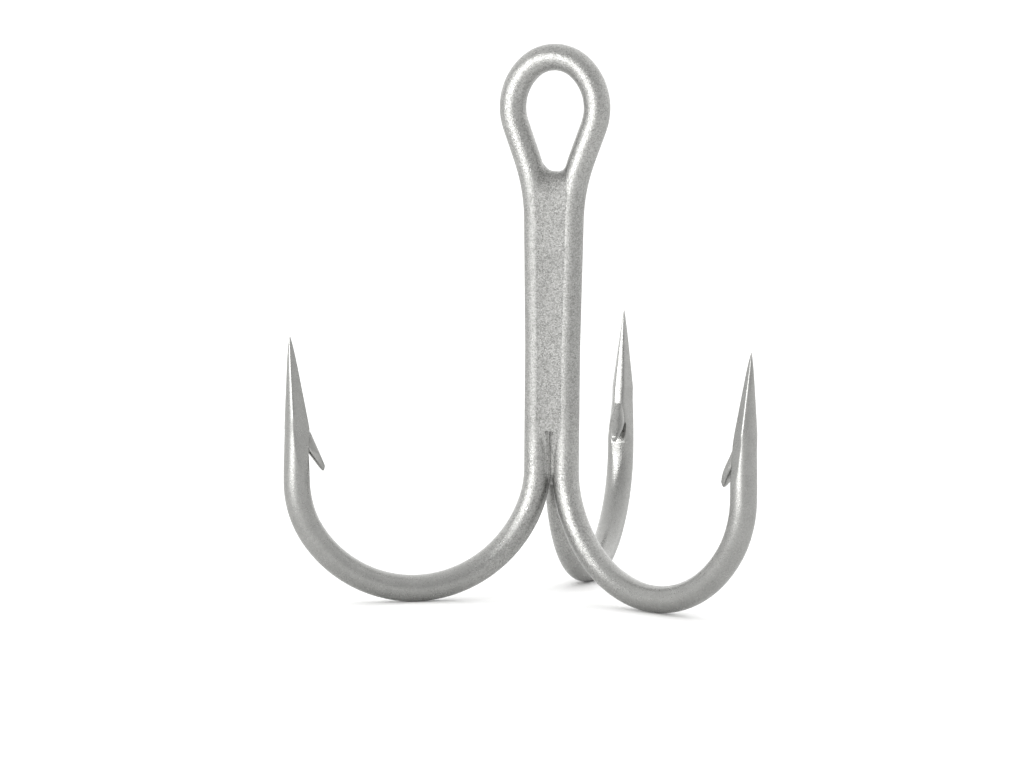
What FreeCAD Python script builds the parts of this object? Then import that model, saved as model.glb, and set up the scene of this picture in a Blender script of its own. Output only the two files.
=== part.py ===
# Treble hook: two bent steel wires, brazed together along their shanks into one hook with three
# barbed points and a closed eye. Millimetres, +Z up.
#
# The origin is the centre that the crown of the eye is bent round. The eye and the twin shanks lie
# in the XZ plane, the eye's hole runs along Y, and the third hook points along +Y. The three bends
# leave one shank axis at 120 degrees to each other and reach the same lowest level, so that the
# hook stands on them.
import FreeCAD, Part
import Sketcher

import math
import os

# Driving dimensions, in millimetres and degrees.
SIZES = {
    # wire
    "wire_diameter": 2.5,      # both wires
    "braze_gap": 0.245,        # clearance between neighbouring shanks, filled by the alloy
    # hook as a whole
    "overall_length": 52.0,    # top of the eye to the bottom of the bends
    "gape": 23.0,              # axis of a shank to the axis of its point
    # eye, measured on the wire's centre line
    "crown_radius": 3.55,      # top of the eye
    "crown_turn": 41.7,        # turned by the crown, each side of the top
    "cheek_radius": 5.05,      # flatter arcs at the widest part of the eye
    "throat_angle": 20.0,      # slope of the legs that close the eye
    "neck_drop": 11.55,        # crown centre down to the foot of the neck
    "shank_taper": 1.07,       # slope of the twin shanks below the neck
    "taper_drop": 24.2,        # crown centre down to where the twin shanks run parallel
    "taper_blend_radius": 60.0,
    "opening_drop": 7.1,       # crown centre down to the bottom of the eye's opening
    "third_wire_drop": 7.7,    # crown centre down to the cut end of the third wire
    "end_chamfer": 0.35,       # broken edge of that end
    # bend, measured on the wire's centre line
    "heel_radius": 9.5,        # from the shank
    "heel_turn": 20.1,
    "front_radius": 9.2,       # up to the point
    "front_turn": 34.7,
    # point
    "point_foot": 1.0,         # straight wire between the bend and the point
    "point_length": 12.5,      # shaped length, tip included
    "taper_length": 8.7,       # part of it that thins to the tip
    "tip_offset": 0.76,        # tip outside the wire's axis
    "tip_width": 0.16,
    "ridge_angle": 62.0,       # ridges, from the outward direction
    "inner_flat": 0.9,         # width of the flat on the inner side, at full section
    # barb
    "barb_tip_drop": 12.55,    # tip of the point down to the tip of the barb
    "barb_length": 3.9,        # along the point
    "barb_stand": 1.35,        # tip of the barb off the wire's inner side
    "barb_tip_thickness": 0.18,
    "barb_tip_width": 0.5,
    "barb_root_width": 1.9,
    "barb_root_depth": 1.8,    # thickness that the barb is raised from
    "barb_inset": 0.1,         # top of the barb, under the wire's inner side
    "ramp_clearance": 0.05,    # ramp's corner under the barb's underside
    "ramp_depth": 0.28,        # chip cut out under the barb
    "ramp_length": 3.2,
    "ramp_mouth": 0.45,        # open side of that cut, off the wire's inner side
    # braze
    "seam_recess": 0.08,       # alloy under the wires' outer tangent plane
    "seam_foot": 15.6,         # bottom of the full seams, above the bottom of the bends
    "bead_foot": 10.8,         # bottom of the thin bead below them
    "bead_depth": 0.62,        # bead's face, in front of the wires' centre plane
    "web_slope_height": 1.9,   # sloping top of the front seam, under the eye
    "web_slope_depth": 0.55,
    "rear_seam_drop": 8.3,     # crown centre down to the top of the rear seams
    "core_drop": 8.0,          # crown centre down to the top of the core
    "cut_margin": 1.0,         # how far a cut reaches past the alloy
}

LABELS = (
    "twin_hook_wire",
    "third_hook_wire",
    "front_braze_seam",
    "left_rear_braze_seam",
    "right_rear_braze_seam",
    "core_braze",
)

# Expressions that several pieces share, in terms of the sheet's cells.
RADIUS = "Sizes.wire_diameter / 2"
SPACING = "(Sizes.wire_diameter + Sizes.braze_gap)"
HALF_SPACING = SPACING + " / 2"
SHANK_CIRCLE = SPACING + " / sqrt(3)"
FLOOR = "(Sizes.crown_radius + " + RADIUS + " - Sizes.overall_length)"
SEAM_DEPTH = "(" + RADIUS + " - Sizes.seam_recess)"
CUT_WIDTH = "Sizes.wire_diameter * 2"      # more than anything that is cut across

doc = FreeCAD.newDocument("treble_hook")
sheet = doc.addObject("Spreadsheet::Sheet", "Sizes")
for row, (alias, value) in enumerate(SIZES.items(), start=1):
    sheet.set("A%d" % row, alias)
    sheet.set("B%d" % row, str(value))
    sheet.setAlias("B%d" % row, alias)
doc.recompute()

size = SIZES.get
wire_radius = size("wire_diameter") / 2
half_spacing = (size("wire_diameter") + size("braze_gap")) / 2
shank_circle = 2 * half_spacing / math.sqrt(3)
floor = size("crown_radius") + wire_radius - size("overall_length")


def direction(angle):
    """Unit vector in a sketch's plane, the angle in degrees from its first axis."""
    return FreeCAD.Vector(math.cos(math.radians(angle)), math.sin(math.radians(angle)), 0)


def add_body(name):
    """An empty body, and its origin planes by their roles."""
    body = doc.addObject("PartDesign::Body", name)
    planes = {feature.Role: feature for feature in body.Origin.OriginFeatures}
    return body, planes


def add_sketch(body, name, plane):
    sketch = body.newObject("Sketcher::SketchObject", name)
    sketch.AttachmentSupport = [(plane, "")]
    sketch.MapMode = "FlatFace"
    return sketch


def constrain(sketch, name, expression, *definition):
    """Adds a dimension with a name and binds it to the sheet."""
    index = sketch.addConstraint(Sketcher.Constraint(*definition))
    sketch.renameConstraint(index, name)
    sketch.setExpression("Constraints." + name, expression)


def measure(sketch, name, *definition):
    """Adds a reference dimension, which other sketches can read by its name."""
    index = sketch.addConstraint(Sketcher.Constraint(*definition))
    sketch.renameConstraint(index, name)
    sketch.setDriving(index, False)


def draw_chain(sketch, start, heading, pieces):
    """Draws lines ("line", length) and arcs ("arc", radius, turn) end to end, each tangent to the
    one before. A positive turn is counter-clockwise. Returns each one's index and its two ends."""
    links = []
    here = start
    for piece in pieces:
        if piece[0] == "line":
            there = here + direction(heading) * piece[1]
            index = sketch.addGeometry(Part.LineSegment(here, there), False)
            ends = (1, 2)
        else:
            radius, turn = piece[1:]
            side = math.copysign(90, turn)
            centre = here + direction(heading + side) * radius
            first = heading - side
            last = first + turn
            there = centre + direction(last) * radius
            circle = Part.Circle(centre, FreeCAD.Vector(0, 0, 1), radius)
            low, high = sorted((math.radians(first), math.radians(last)))
            index = sketch.addGeometry(Part.ArcOfCircle(circle, low, high), False)
            ends = (1, 2) if turn > 0 else (2, 1)
            heading += turn
        if links:
            before, before_ends = links[-1]
            tangent = Sketcher.Constraint("Tangent", before, before_ends[1], index, ends[0])
            sketch.addConstraint(tangent)
        links.append((index, ends))
        here = there
    return links


def draw_polygon(sketch, points):
    """Draws a closed outline of straight lines and returns the index of the first."""
    count = len(points)
    first = len(sketch.Geometry)
    for i in range(count):
        line = Part.LineSegment(points[i], points[(i + 1) % count])
        sketch.addGeometry(line, False)
    for i in range(count):
        joint = Sketcher.Constraint("Coincident", first + i, 2, first + (i + 1) % count, 1)
        sketch.addConstraint(joint)
    return first


def place_point(sketch, name, index, end, x, y):
    """Fixes a point from the sketch's origin; x and y are (value, expression)."""
    constrain(sketch, name + "_x", x[1], "DistanceX", -1, 1, index, end, x[0])
    constrain(sketch, name + "_y", y[1], "DistanceY", -1, 1, index, end, y[0])


def draw_wire(sketch, rise=None):
    """The wire's round section at the sketch's origin, or straight above it at a rise, which is
    given as (value, expression)."""
    centre = FreeCAD.Vector(0, rise[0] if rise else 0, 0)
    circle = Part.Circle(centre, FreeCAD.Vector(0, 0, 1), wire_radius)
    index = sketch.addGeometry(circle, False)
    constrain(sketch, "wire", "Sizes.wire_diameter", "Diameter", index, 2 * wire_radius)
    if rise:
        sketch.addConstraint(Sketcher.Constraint("PointOnObject", index, 3, -2))
        constrain(sketch, "rise", rise[1], "DistanceY", -1, 1, index, 3, rise[0])
    else:
        sketch.addConstraint(Sketcher.Constraint("Coincident", index, 3, -1, 1))


def add_pipe(body, name, section, path):
    pipe = body.newObject("PartDesign::AdditivePipe", name)
    pipe.Profile = (section, [""])
    pipe.Spine = (path, [])
    doc.recompute()
    return pipe


# --- shape of the wire's centre line -------------------------------------------------------------

def leg_and_neck():
    """Length of the eye's straight leg, radius of its neck and length of the sloping shank, which
    close the path between the cheek and the straight part of the twin shank."""
    throat = math.radians(size("throat_angle"))
    taper = math.radians(size("shank_taper"))
    turn = math.radians(size("crown_turn"))
    offset = size("crown_radius") - size("cheek_radius")
    cheek_x = offset * math.sin(turn) + size("cheek_radius") * math.cos(throat)
    cheek_y = offset * math.cos(turn) - size("cheek_radius") * math.sin(throat)
    blend = size("taper_blend_radius")
    taper_y = -size("taper_drop") + blend * math.sin(taper)
    taper_x = half_spacing + blend * (1 - math.cos(taper))
    neck_y = -size("neck_drop")
    neck_x = taper_x + (neck_y - taper_y) * math.tan(taper)
    # leg * sin(throat) + neck * (cos(taper) - cos(throat)) = cheek_x - neck_x
    # leg * cos(throat) + neck * (sin(throat) - sin(taper)) = cheek_y - neck_y
    a, b = math.sin(throat), math.cos(taper) - math.cos(throat)
    c, d = math.cos(throat), math.sin(throat) - math.sin(taper)
    right, down = cheek_x - neck_x, cheek_y - neck_y
    leg = (right * d - b * down) / (a * d - b * c)
    neck = (a * down - c * right) / (a * d - b * c)
    return leg, neck, (neck_y - taper_y) / math.cos(taper)


leg_length, neck_radius, slope_length = leg_and_neck()


def draw_eye_path(sketch):
    """Right half of the eye and its shank, from the top of the crown down to the parallel part."""
    throat, taper = size("throat_angle"), size("shank_taper")
    links = draw_chain(sketch, FreeCAD.Vector(0, size("crown_radius"), 0), 0, (
        ("arc", size("crown_radius"), -size("crown_turn")),
        ("arc", size("cheek_radius"), -(90 + throat - size("crown_turn"))),
        ("line", leg_length),
        ("arc", neck_radius, throat - taper),
        ("line", slope_length),
        ("arc", size("taper_blend_radius"), taper),
    ))
    crown, cheek, leg, neck, shank, blend = [index for index, ends in links]
    sketch.addConstraint(Sketcher.Constraint("Coincident", crown, 3, -1, 1))
    sketch.addConstraint(Sketcher.Constraint("PointOnObject", crown, 2, -2))
    constrain(sketch, "crown", "Sizes.crown_radius", "Radius", crown, size("crown_radius"))
    constrain(sketch, "crown_turn", "Sizes.crown_turn * 1 deg",
              "Angle", crown, math.radians(size("crown_turn")))
    constrain(sketch, "cheek", "Sizes.cheek_radius", "Radius", cheek, size("cheek_radius"))
    constrain(sketch, "throat", "-(90 + Sizes.throat_angle) * 1 deg",
              "Angle", leg, -math.radians(90 + throat))
    constrain(sketch, "taper", "-(90 + Sizes.shank_taper) * 1 deg",
              "Angle", shank, -math.radians(90 + taper))
    constrain(sketch, "neck_foot", "Sizes.neck_drop",
              "DistanceY", neck, 2, -1, 1, size("neck_drop"))
    constrain(sketch, "blend", "Sizes.taper_blend_radius",
              "Radius", blend, size("taper_blend_radius"))
    constrain(sketch, "blend_foot_x", HALF_SPACING, "DistanceX", -1, 1, blend, 2, half_spacing)
    constrain(sketch, "blend_foot_y", "Sizes.taper_drop",
              "DistanceY", blend, 2, -1, 1, size("taper_drop"))
    sketch.addConstraint(Sketcher.Constraint("Horizontal", blend, 2, blend, 3))
    measure(sketch, "neck_radius", "Radius", neck, neck_radius)


def draw_bend_path(sketch, top, top_expression):
    """Shank and bend in their own plane, measured from the shank's axis: down from the given
    level, round the bend, and up to the foot of the point."""
    heel, front = math.radians(size("heel_turn")), math.radians(size("front_turn"))
    spread = size("heel_radius") * (1 - math.cos(heel))
    spread += size("front_radius") * (1 - math.cos(front))
    main_radius = (size("gape") - spread) / (math.cos(heel) + math.cos(front))
    lowest = floor + wire_radius
    shank_foot = lowest + main_radius - (main_radius - size("heel_radius")) * math.sin(heel)
    links = draw_chain(sketch, FreeCAD.Vector(0, top, 0), -90, (
        ("line", top - shank_foot),
        ("arc", size("heel_radius"), size("heel_turn")),
        ("arc", main_radius, 180 - size("heel_turn") - size("front_turn")),
        ("arc", size("front_radius"), size("front_turn")),
        ("line", size("point_foot")),
    ))
    shank, heel_arc, main, front_arc, foot = [index for index, ends in links]
    sketch.addConstraint(Sketcher.Constraint("PointOnObject", shank, 1, -2))
    sketch.addConstraint(Sketcher.Constraint("Vertical", shank))
    sketch.addConstraint(Sketcher.Constraint("Vertical", foot))
    constrain(sketch, "top", top_expression, "DistanceY", shank, 1, -1, 1, -top)
    constrain(sketch, "heel", "Sizes.heel_radius", "Radius", heel_arc, size("heel_radius"))
    constrain(sketch, "heel_turn", "Sizes.heel_turn * 1 deg", "Angle", heel_arc, heel)
    constrain(sketch, "front", "Sizes.front_radius", "Radius", front_arc, size("front_radius"))
    constrain(sketch, "front_turn", "Sizes.front_turn * 1 deg", "Angle", front_arc, front)
    constrain(sketch, "gape", "Sizes.gape", "DistanceX", shank, 2, foot, 2, size("gape"))
    constrain(sketch, "foot", "Sizes.point_foot",
              "DistanceY", foot, 1, foot, 2, size("point_foot"))
    # the lowest point of the main arc is straight under its centre
    centre_x = size("gape") - size("front_radius") * (1 - math.cos(front))
    centre_x -= main_radius * math.cos(front)
    bottom = sketch.addGeometry(Part.Point(FreeCAD.Vector(centre_x, lowest, 0)), True)
    sketch.addConstraint(Sketcher.Constraint("PointOnObject", bottom, 1, main))
    sketch.addConstraint(Sketcher.Constraint("Vertical", bottom, 1, main, 3))
    constrain(sketch, "lowest", "-" + FLOOR + " - " + RADIUS,
              "DistanceY", bottom, 1, -1, 1, -lowest)
    measure(sketch, "point_start", "DistanceY", foot, 2, -1, 1, 0)


# --- one hook: bend, point and barb ---------------------------------------------------------------

class Hook:
    """Where a hook's bend starts in its body, and which way it points, seen from above."""

    def __init__(self, name, body, planes, axis_x, turn, top):
        self.name = name
        self.body = body
        self.planes = planes
        self.axis_x = axis_x    # (value, expression) of the shank's axis
        self.turn = turn        # degrees from +X
        self.top = top          # (value, expression) of how far down the shank starts

    def sketch_in_plane(self, name):
        """A sketch in the hook's own plane, its origin on the shank's axis."""
        sketch = add_sketch(self.body, self.name + name, self.planes["XZ_Plane"])
        turn = FreeCAD.Rotation(FreeCAD.Vector(0, 1, 0), self.turn)
        sketch.AttachmentOffset = FreeCAD.Placement(FreeCAD.Vector(self.axis_x[0], 0, 0), turn)
        sketch.setExpression("AttachmentOffset.Base.x", self.axis_x[1])
        return sketch

    def sketch_across(self, name, reach, level):
        """A level sketch, its origin at a reach from the shank's axis; both are expressions."""
        sketch = add_sketch(self.body, self.name + name, self.planes["XY_Plane"])
        turn = FreeCAD.Rotation(FreeCAD.Vector(0, 0, 1), self.turn)
        sketch.AttachmentOffset = FreeCAD.Placement(FreeCAD.Vector(), turn)
        along = "(%s) * %s(%g deg)"
        base = self.axis_x[1] + " + " + along % (reach, "cos", self.turn)
        sketch.setExpression("AttachmentOffset.Base.x", base)
        sketch.setExpression("AttachmentOffset.Base.y", along % (reach, "sin", self.turn))
        sketch.setExpression("AttachmentOffset.Base.z", level)
        return sketch

    def level(self, above_foot):
        """Expression of a level, given its height above the foot of the point."""
        return "%s - %sBendPath.Constraints.point_start / 1 mm" % (above_foot, self.name)


def draw_point_section(sketch, scale, flat):
    """Section of the point: an outward arc between two ridges, two sides and a narrow inner side.
    The sides are flat, or arcs of the round wire where the shaping starts."""
    radius = wire_radius * scale[0]
    ridge = math.radians(size("ridge_angle"))
    inner = math.pi - math.asin(size("inner_flat") / 2 / wire_radius)
    angles = [-ridge, ridge, inner, 2 * math.pi - inner]
    corners = [direction(math.degrees(angle)) * radius for angle in angles]
    circle = Part.Circle(FreeCAD.Vector(), FreeCAD.Vector(0, 0, 1), radius)
    angles.append(2 * math.pi - ridge)
    for i in range(4):
        if i == 0 or not flat:
            sketch.addGeometry(Part.ArcOfCircle(circle, angles[i], angles[i + 1]), False)
        else:
            sketch.addGeometry(Part.LineSegment(corners[i], corners[(i + 1) % 4]), False)
    for i in range(4):
        sketch.addConstraint(Sketcher.Constraint("Coincident", i, 2, (i + 1) % 4, 1))
    sketch.addConstraint(Sketcher.Constraint("Coincident", 0, 3, -1, 1))
    shrunk = RADIUS + " * " + scale[1]
    ridge_y = shrunk + " * sin(Sizes.ridge_angle * 1 deg)"
    flat_y = "Sizes.inner_flat / 2 * " + scale[1]
    constrain(sketch, "radius", shrunk, "Radius", 0, radius)
    constrain(sketch, "ridge_left", ridge_y, "DistanceY", -1, 1, 1, 1, corners[1].y)
    constrain(sketch, "ridge_right", ridge_y, "DistanceY", 0, 1, -1, 1, -corners[0].y)
    constrain(sketch, "flat_left", flat_y, "DistanceY", -1, 1, 2, 1, corners[2].y)
    constrain(sketch, "flat_right", flat_y, "DistanceY", 3, 1, -1, 1, -corners[3].y)
    if flat:
        depth = "sqrt((%s)^2 - (%s)^2)" % (shrunk, flat_y)
        sketch.addConstraint(Sketcher.Constraint("Vertical", 2))
        constrain(sketch, "inner", depth, "DistanceX", 2, 1, -1, 1, -corners[2].x)
    else:
        sketch.addConstraint(Sketcher.Constraint("Coincident", 1, 3, -1, 1))
        sketch.addConstraint(Sketcher.Constraint("Coincident", 2, 3, -1, 1))
        sketch.addConstraint(Sketcher.Constraint("PointOnObject", 3, 3, -1))


def draw_tongue(sketch, inner, outer):
    """Section of the barb, a trapezoid between two levels of reach, each given as ((value,
    expression) of the reach from the point's axis, (value, expression) of the width)."""
    corners = [
        FreeCAD.Vector(inner[0][0], -inner[1][0] / 2, 0),
        FreeCAD.Vector(outer[0][0], -outer[1][0] / 2, 0),
        FreeCAD.Vector(outer[0][0], outer[1][0] / 2, 0),
        FreeCAD.Vector(inner[0][0], inner[1][0] / 2, 0),
    ]
    draw_polygon(sketch, corners)
    for i, side in enumerate((inner, outer, outer, inner)):
        sign = "-" if i < 2 else ""
        place_point(sketch, "corner%d" % i, i, 1,
                    (corners[i].x, side[0][1]), (corners[i].y, sign + side[1][1] + " / 2"))


def add_loft(body, name, first, others):
    loft = body.newObject("PartDesign::AdditiveLoft", name)
    loft.Profile = (first, [""])
    loft.Sections = [(sketch, [""]) for sketch in others]
    loft.Ruled = True
    doc.recompute()
    return loft


def add_bend(hook):
    """Shank and bend of one hook."""
    path = hook.sketch_in_plane("BendPath")
    draw_bend_path(path, -hook.top[0], hook.top[1])
    section = hook.sketch_across("BendSection", "0", "-" + hook.top[1])
    draw_wire(section)
    doc.recompute()
    return add_pipe(hook.body, hook.name + "Bend", section, path)


def add_point(hook):
    """Point: the round wire turns into two flat sides between ridges and thins to the tip."""
    tip_scale = size("tip_width") / size("wire_diameter")
    foot = hook.sketch_across("PointFoot", "Sizes.gape", hook.level("0"))
    draw_point_section(foot, (1, "1"), False)
    full_level = hook.level("Sizes.point_length - Sizes.taper_length")
    full = hook.sketch_across("PointFull", "Sizes.gape", full_level)
    draw_point_section(full, (1, "1"), True)
    tip_level = hook.level("Sizes.point_length")
    tip = hook.sketch_across("PointTip", "Sizes.gape + Sizes.tip_offset", tip_level)
    draw_point_section(tip, (tip_scale, "Sizes.tip_width / Sizes.wire_diameter"), True)
    doc.recompute()
    add_loft(hook.body, hook.name + "Point", foot, (full, tip))


def add_barb(hook):
    """Barb: a chip raised off the inner side, and the ramp that it was cut from."""
    barb_level = "Sizes.point_length - Sizes.barb_tip_drop"
    stand = wire_radius + size("barb_stand")
    stand_text = "(" + RADIUS + " + Sizes.barb_stand)"
    thickness, depth = size("barb_tip_thickness"), size("barb_root_depth")
    tip = hook.sketch_across("BarbTip", "Sizes.gape", hook.level(barb_level))
    tip_width = (size("barb_tip_width"), "Sizes.barb_tip_width")
    draw_tongue(tip, ((-stand, "-" + stand_text), tip_width),
                ((thickness - stand, "Sizes.barb_tip_thickness - " + stand_text), tip_width))
    root_level = hook.level(barb_level + " + Sizes.barb_length")
    root = hook.sketch_across("BarbRoot", "Sizes.gape", root_level)
    inset = size("barb_inset") - wire_radius
    inset_text = "(Sizes.barb_inset - " + RADIUS + ")"
    flat = (size("inner_flat"), "Sizes.inner_flat")
    width = (size("barb_root_width"), "Sizes.barb_root_width")
    draw_tongue(root, ((inset, inset_text), flat),
                ((inset + depth, inset_text + " + Sizes.barb_root_depth"), width))
    doc.recompute()
    barb = add_loft(hook.body, hook.name + "Barb", tip, (root,))

    # the ramp starts in the corner under the barb, just below the barb's own underside
    slope = "Sizes.barb_length / (Sizes.barb_inset + Sizes.barb_root_depth"
    slope += " + Sizes.barb_stand - Sizes.barb_tip_thickness)"
    rise = size("barb_length") / (
        size("barb_inset") + size("barb_root_depth") + size("barb_stand") - thickness)
    open_side = size("ramp_mouth")
    foot = hook.level(barb_level)
    foot_value = -hook.body.getObject(hook.name + "BendPath").getDatum("point_start").Value
    foot_value += size("point_length") - size("barb_tip_drop")
    under = size("barb_stand") - thickness
    clear = size("ramp_clearance")
    corner = (size("gape") - wire_radius + size("ramp_depth"),
              foot_value + (under + size("ramp_depth")) * rise - clear)
    mouth = (size("gape") - wire_radius - open_side,
             foot_value + (under - open_side) * rise - clear)
    end = corner[1] - size("ramp_length")
    points = [corner, (size("gape") - wire_radius, end), (mouth[0], end), mouth]
    skin = "Sizes.gape - " + RADIUS
    above = foot + " - Sizes.ramp_clearance + (Sizes.barb_stand - Sizes.barb_tip_thickness"
    corner_level = above + " + Sizes.ramp_depth) * " + slope
    texts = [
        (skin + " + Sizes.ramp_depth", corner_level),
        (skin, corner_level + " - Sizes.ramp_length"),
        (skin + " - Sizes.ramp_mouth", corner_level + " - Sizes.ramp_length"),
        (skin + " - Sizes.ramp_mouth", above + " - Sizes.ramp_mouth) * " + slope),
    ]
    ramp = hook.sketch_in_plane("RampSide")
    draw_polygon(ramp, [FreeCAD.Vector(x, y, 0) for x, y in points])
    for i in range(4):
        place_point(ramp, "corner%d" % i, i, 1,
                    (points[i][0], texts[i][0]), (points[i][1], texts[i][1]))
    doc.recompute()
    before = barb.Shape.Volume
    cut = hook.body.newObject("PartDesign::Pocket", hook.name + "Ramp")
    cut.Profile = (ramp, [""])
    cut.SideType = "Symmetric"
    cut.setExpression("Length", CUT_WIDTH)
    doc.recompute()
    if not cut.Shape.Volume < before:
        raise RuntimeError(hook.name + ": the ramp cut nothing")


# --- twin hook wire: half of it, then its mirror image ---------------------------------------------

twin, twin_planes = add_body("TwinWire")
twin.Label = "twin_hook_wire"
eye_path = add_sketch(twin, "EyePath", twin_planes["XZ_Plane"])
draw_eye_path(eye_path)
eye_section = add_sketch(twin, "EyeSection", twin_planes["YZ_Plane"])
draw_wire(eye_section, (size("crown_radius"), "Sizes.crown_radius"))
add_pipe(twin, "Eye", eye_section, eye_path)
twin_hook = Hook("Twin", twin, twin_planes, (half_spacing, HALF_SPACING), -30,
                 (size("taper_drop"), "Sizes.taper_drop"))
add_bend(twin_hook)
add_point(twin_hook)
add_barb(twin_hook)
mirrored = twin.newObject("PartDesign::Mirrored", "OtherHalf")
mirrored.TransformMode = "Whole shape"
mirrored.MirrorPlane = (twin_planes["YZ_Plane"], [""])
twin.Tip = mirrored
doc.recompute()


# --- third hook wire: made in its own plane, then turned to +Y -------------------------------------

third, third_planes = add_body("ThirdWire")
third.Label = "third_hook_wire"
third_hook = Hook("Third", third, third_planes, (0, "0"), 0,
                  (size("third_wire_drop"), "Sizes.third_wire_drop"))
shank = add_bend(third_hook)
top_edges = [
    "Edge%d" % (i + 1) for i, edge in enumerate(shank.Shape.Edges)
    if edge.BoundBox.ZMin > shank.Shape.BoundBox.ZMax - size("end_chamfer")
]
broken_end = third.newObject("PartDesign::Chamfer", "BrokenEnd")
broken_end.Base = (shank, top_edges)
broken_end.setExpression("Size", "Sizes.end_chamfer")
doc.recompute()
add_point(third_hook)
add_barb(third_hook)
third.Placement = FreeCAD.Placement(
    FreeCAD.Vector(0, 1.5 * shank_circle, 0), FreeCAD.Rotation(FreeCAD.Vector(0, 0, 1), 90)
)
third.setExpression("Placement.Base.y", "1.5 * " + SHANK_CIRCLE)
doc.recompute()


# --- braze: what the alloy fills between the three shanks -------------------------------------------

def cut_by(name, base, tools):
    """The base less each tool in turn, so that the alloy meets the wires face to face."""
    shape = base
    for i, tool in enumerate(tools):
        cut = doc.addObject("Part::Cut", "%sCut%d" % (name, i))
        cut.Base = shape
        cut.Tool = tool
        shape = cut
    doc.recompute()
    return shape


def draw_seam_outline(sketch):
    """Right half of the front seam, seen from the front: it reaches to the wire's centre line."""
    foot = floor + size("bead_foot")
    taper = size("shank_taper")
    top = -size("opening_drop")
    neck_foot = half_spacing + size("taper_blend_radius") * (1 - math.cos(math.radians(taper)))
    neck_foot += slope_length * math.sin(math.radians(taper))
    rise = top + size("neck_drop") + neck_radius * math.sin(math.radians(taper))
    heading = math.degrees(math.asin(rise / neck_radius))
    links = draw_chain(sketch, FreeCAD.Vector(half_spacing, foot, 0), 90, (
        ("line", -size("taper_drop") - foot),
        ("arc", size("taper_blend_radius"), -taper),
        ("line", slope_length),
        ("arc", neck_radius, taper - heading),
    ))
    side, blend, shank, neck = [index for index, ends in links]
    reach = neck_foot + neck_radius * (
        math.cos(math.radians(taper)) - math.cos(math.radians(heading)))
    corners = [FreeCAD.Vector(*point) for point in (
        (reach, top, 0), (0, top, 0), (0, foot, 0), (half_spacing, foot, 0))]
    first = side + 4
    for i in range(3):
        sketch.addGeometry(Part.LineSegment(corners[i], corners[i + 1]), False)
    chain = ((neck, 1, first, 1), (first, 2, first + 1, 1), (first + 1, 2, first + 2, 1),
             (first + 2, 2, side, 1))
    for joint in chain:
        sketch.addConstraint(Sketcher.Constraint("Coincident", *joint))
    for index, kind in ((side, "Vertical"), (first, "Horizontal"), (first + 2, "Horizontal")):
        sketch.addConstraint(Sketcher.Constraint(kind, index))
    for end in (1, 2):
        sketch.addConstraint(Sketcher.Constraint("PointOnObject", first + 1, end, -2))
    constrain(sketch, "half_spacing", HALF_SPACING, "DistanceX", -1, 1, side, 1, half_spacing)
    constrain(sketch, "bead_foot", "-" + FLOOR + " - Sizes.bead_foot",
              "DistanceY", side, 1, -1, 1, -foot)
    constrain(sketch, "taper_foot", "Sizes.taper_drop",
              "DistanceY", side, 2, -1, 1, size("taper_drop"))
    constrain(sketch, "blend", "Sizes.taper_blend_radius",
              "Radius", blend, size("taper_blend_radius"))
    constrain(sketch, "taper", "(90 - Sizes.shank_taper) * 1 deg",
              "Angle", shank, math.radians(90 - taper))
    constrain(sketch, "neck_foot", "Sizes.neck_drop",
              "DistanceY", shank, 2, -1, 1, size("neck_drop"))
    constrain(sketch, "neck", "EyePath.Constraints.neck_radius", "Radius", neck, neck_radius)
    constrain(sketch, "top", "Sizes.opening_drop",
              "DistanceY", first, 2, -1, 1, size("opening_drop"))


def draw_seam_profile(sketch):
    """What is cut off the front seam, seen from the side: all but a thin bead at the bottom, and
    a slope at the top, under the eye."""
    depth = wire_radius - size("seam_recess")
    outside = (-2 * wire_radius, "-Sizes.wire_diameter")
    under = (floor, FLOOR)
    foot = (floor + size("seam_foot"), FLOOR + " + Sizes.seam_foot")
    bead = (-size("bead_depth"), "-Sizes.bead_depth")
    face = (-depth, "-" + SEAM_DEPTH)
    slope_foot = (-size("opening_drop") - size("web_slope_height"),
                  "-Sizes.opening_drop - Sizes.web_slope_height")
    edge = (size("web_slope_depth") - depth, "Sizes.web_slope_depth - " + SEAM_DEPTH)
    top = (-size("opening_drop"), "-Sizes.opening_drop")
    above = (top[0] + size("cut_margin"), top[1] + " + Sizes.cut_margin")
    outlines = (
        ((outside, under), (bead, under), (bead, foot), (outside, foot)),
        ((face, slope_foot), (edge, top), (edge, above), (outside, above),
         (outside, slope_foot)),
    )
    for name, outline in zip(("bead", "slope"), outlines):
        points = [FreeCAD.Vector(x[0], y[0], 0) for x, y in outline]
        first = draw_polygon(sketch, points)
        for i, (x, y) in enumerate(outline):
            place_point(sketch, "%s%d" % (name, i), first + i, 1, x, y)


blank, blank_planes = add_body("FrontSeamBlank")
seam_outline = add_sketch(blank, "SeamOutline", blank_planes["XZ_Plane"])
draw_seam_outline(seam_outline)
seam_pad = blank.newObject("PartDesign::Pad", "SeamPad")
seam_pad.Profile = (seam_outline, [""])
seam_pad.setExpression("Length", SEAM_DEPTH)
seam_profile = add_sketch(blank, "SeamProfile", blank_planes["YZ_Plane"])
draw_seam_profile(seam_profile)
doc.recompute()
full_volume = seam_pad.Shape.Volume
seam_pocket = blank.newObject("PartDesign::Pocket", "SeamPocket")
seam_pocket.Profile = (seam_profile, [""])
seam_pocket.SideType = "Symmetric"
seam_pocket.setExpression("Length", CUT_WIDTH)
doc.recompute()
if not seam_pocket.Shape.Volume < full_volume:
    raise RuntimeError("the front seam's profile cut nothing")
seam_mirror = blank.newObject("PartDesign::Mirrored", "SeamOtherHalf")
seam_mirror.TransformMode = "Whole shape"
seam_mirror.MirrorPlane = (blank_planes["YZ_Plane"], [""])
blank.Tip = seam_mirror
front_seam = cut_by("FrontSeam", blank, (twin,))
front_seam.Label = "front_braze_seam"

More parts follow.
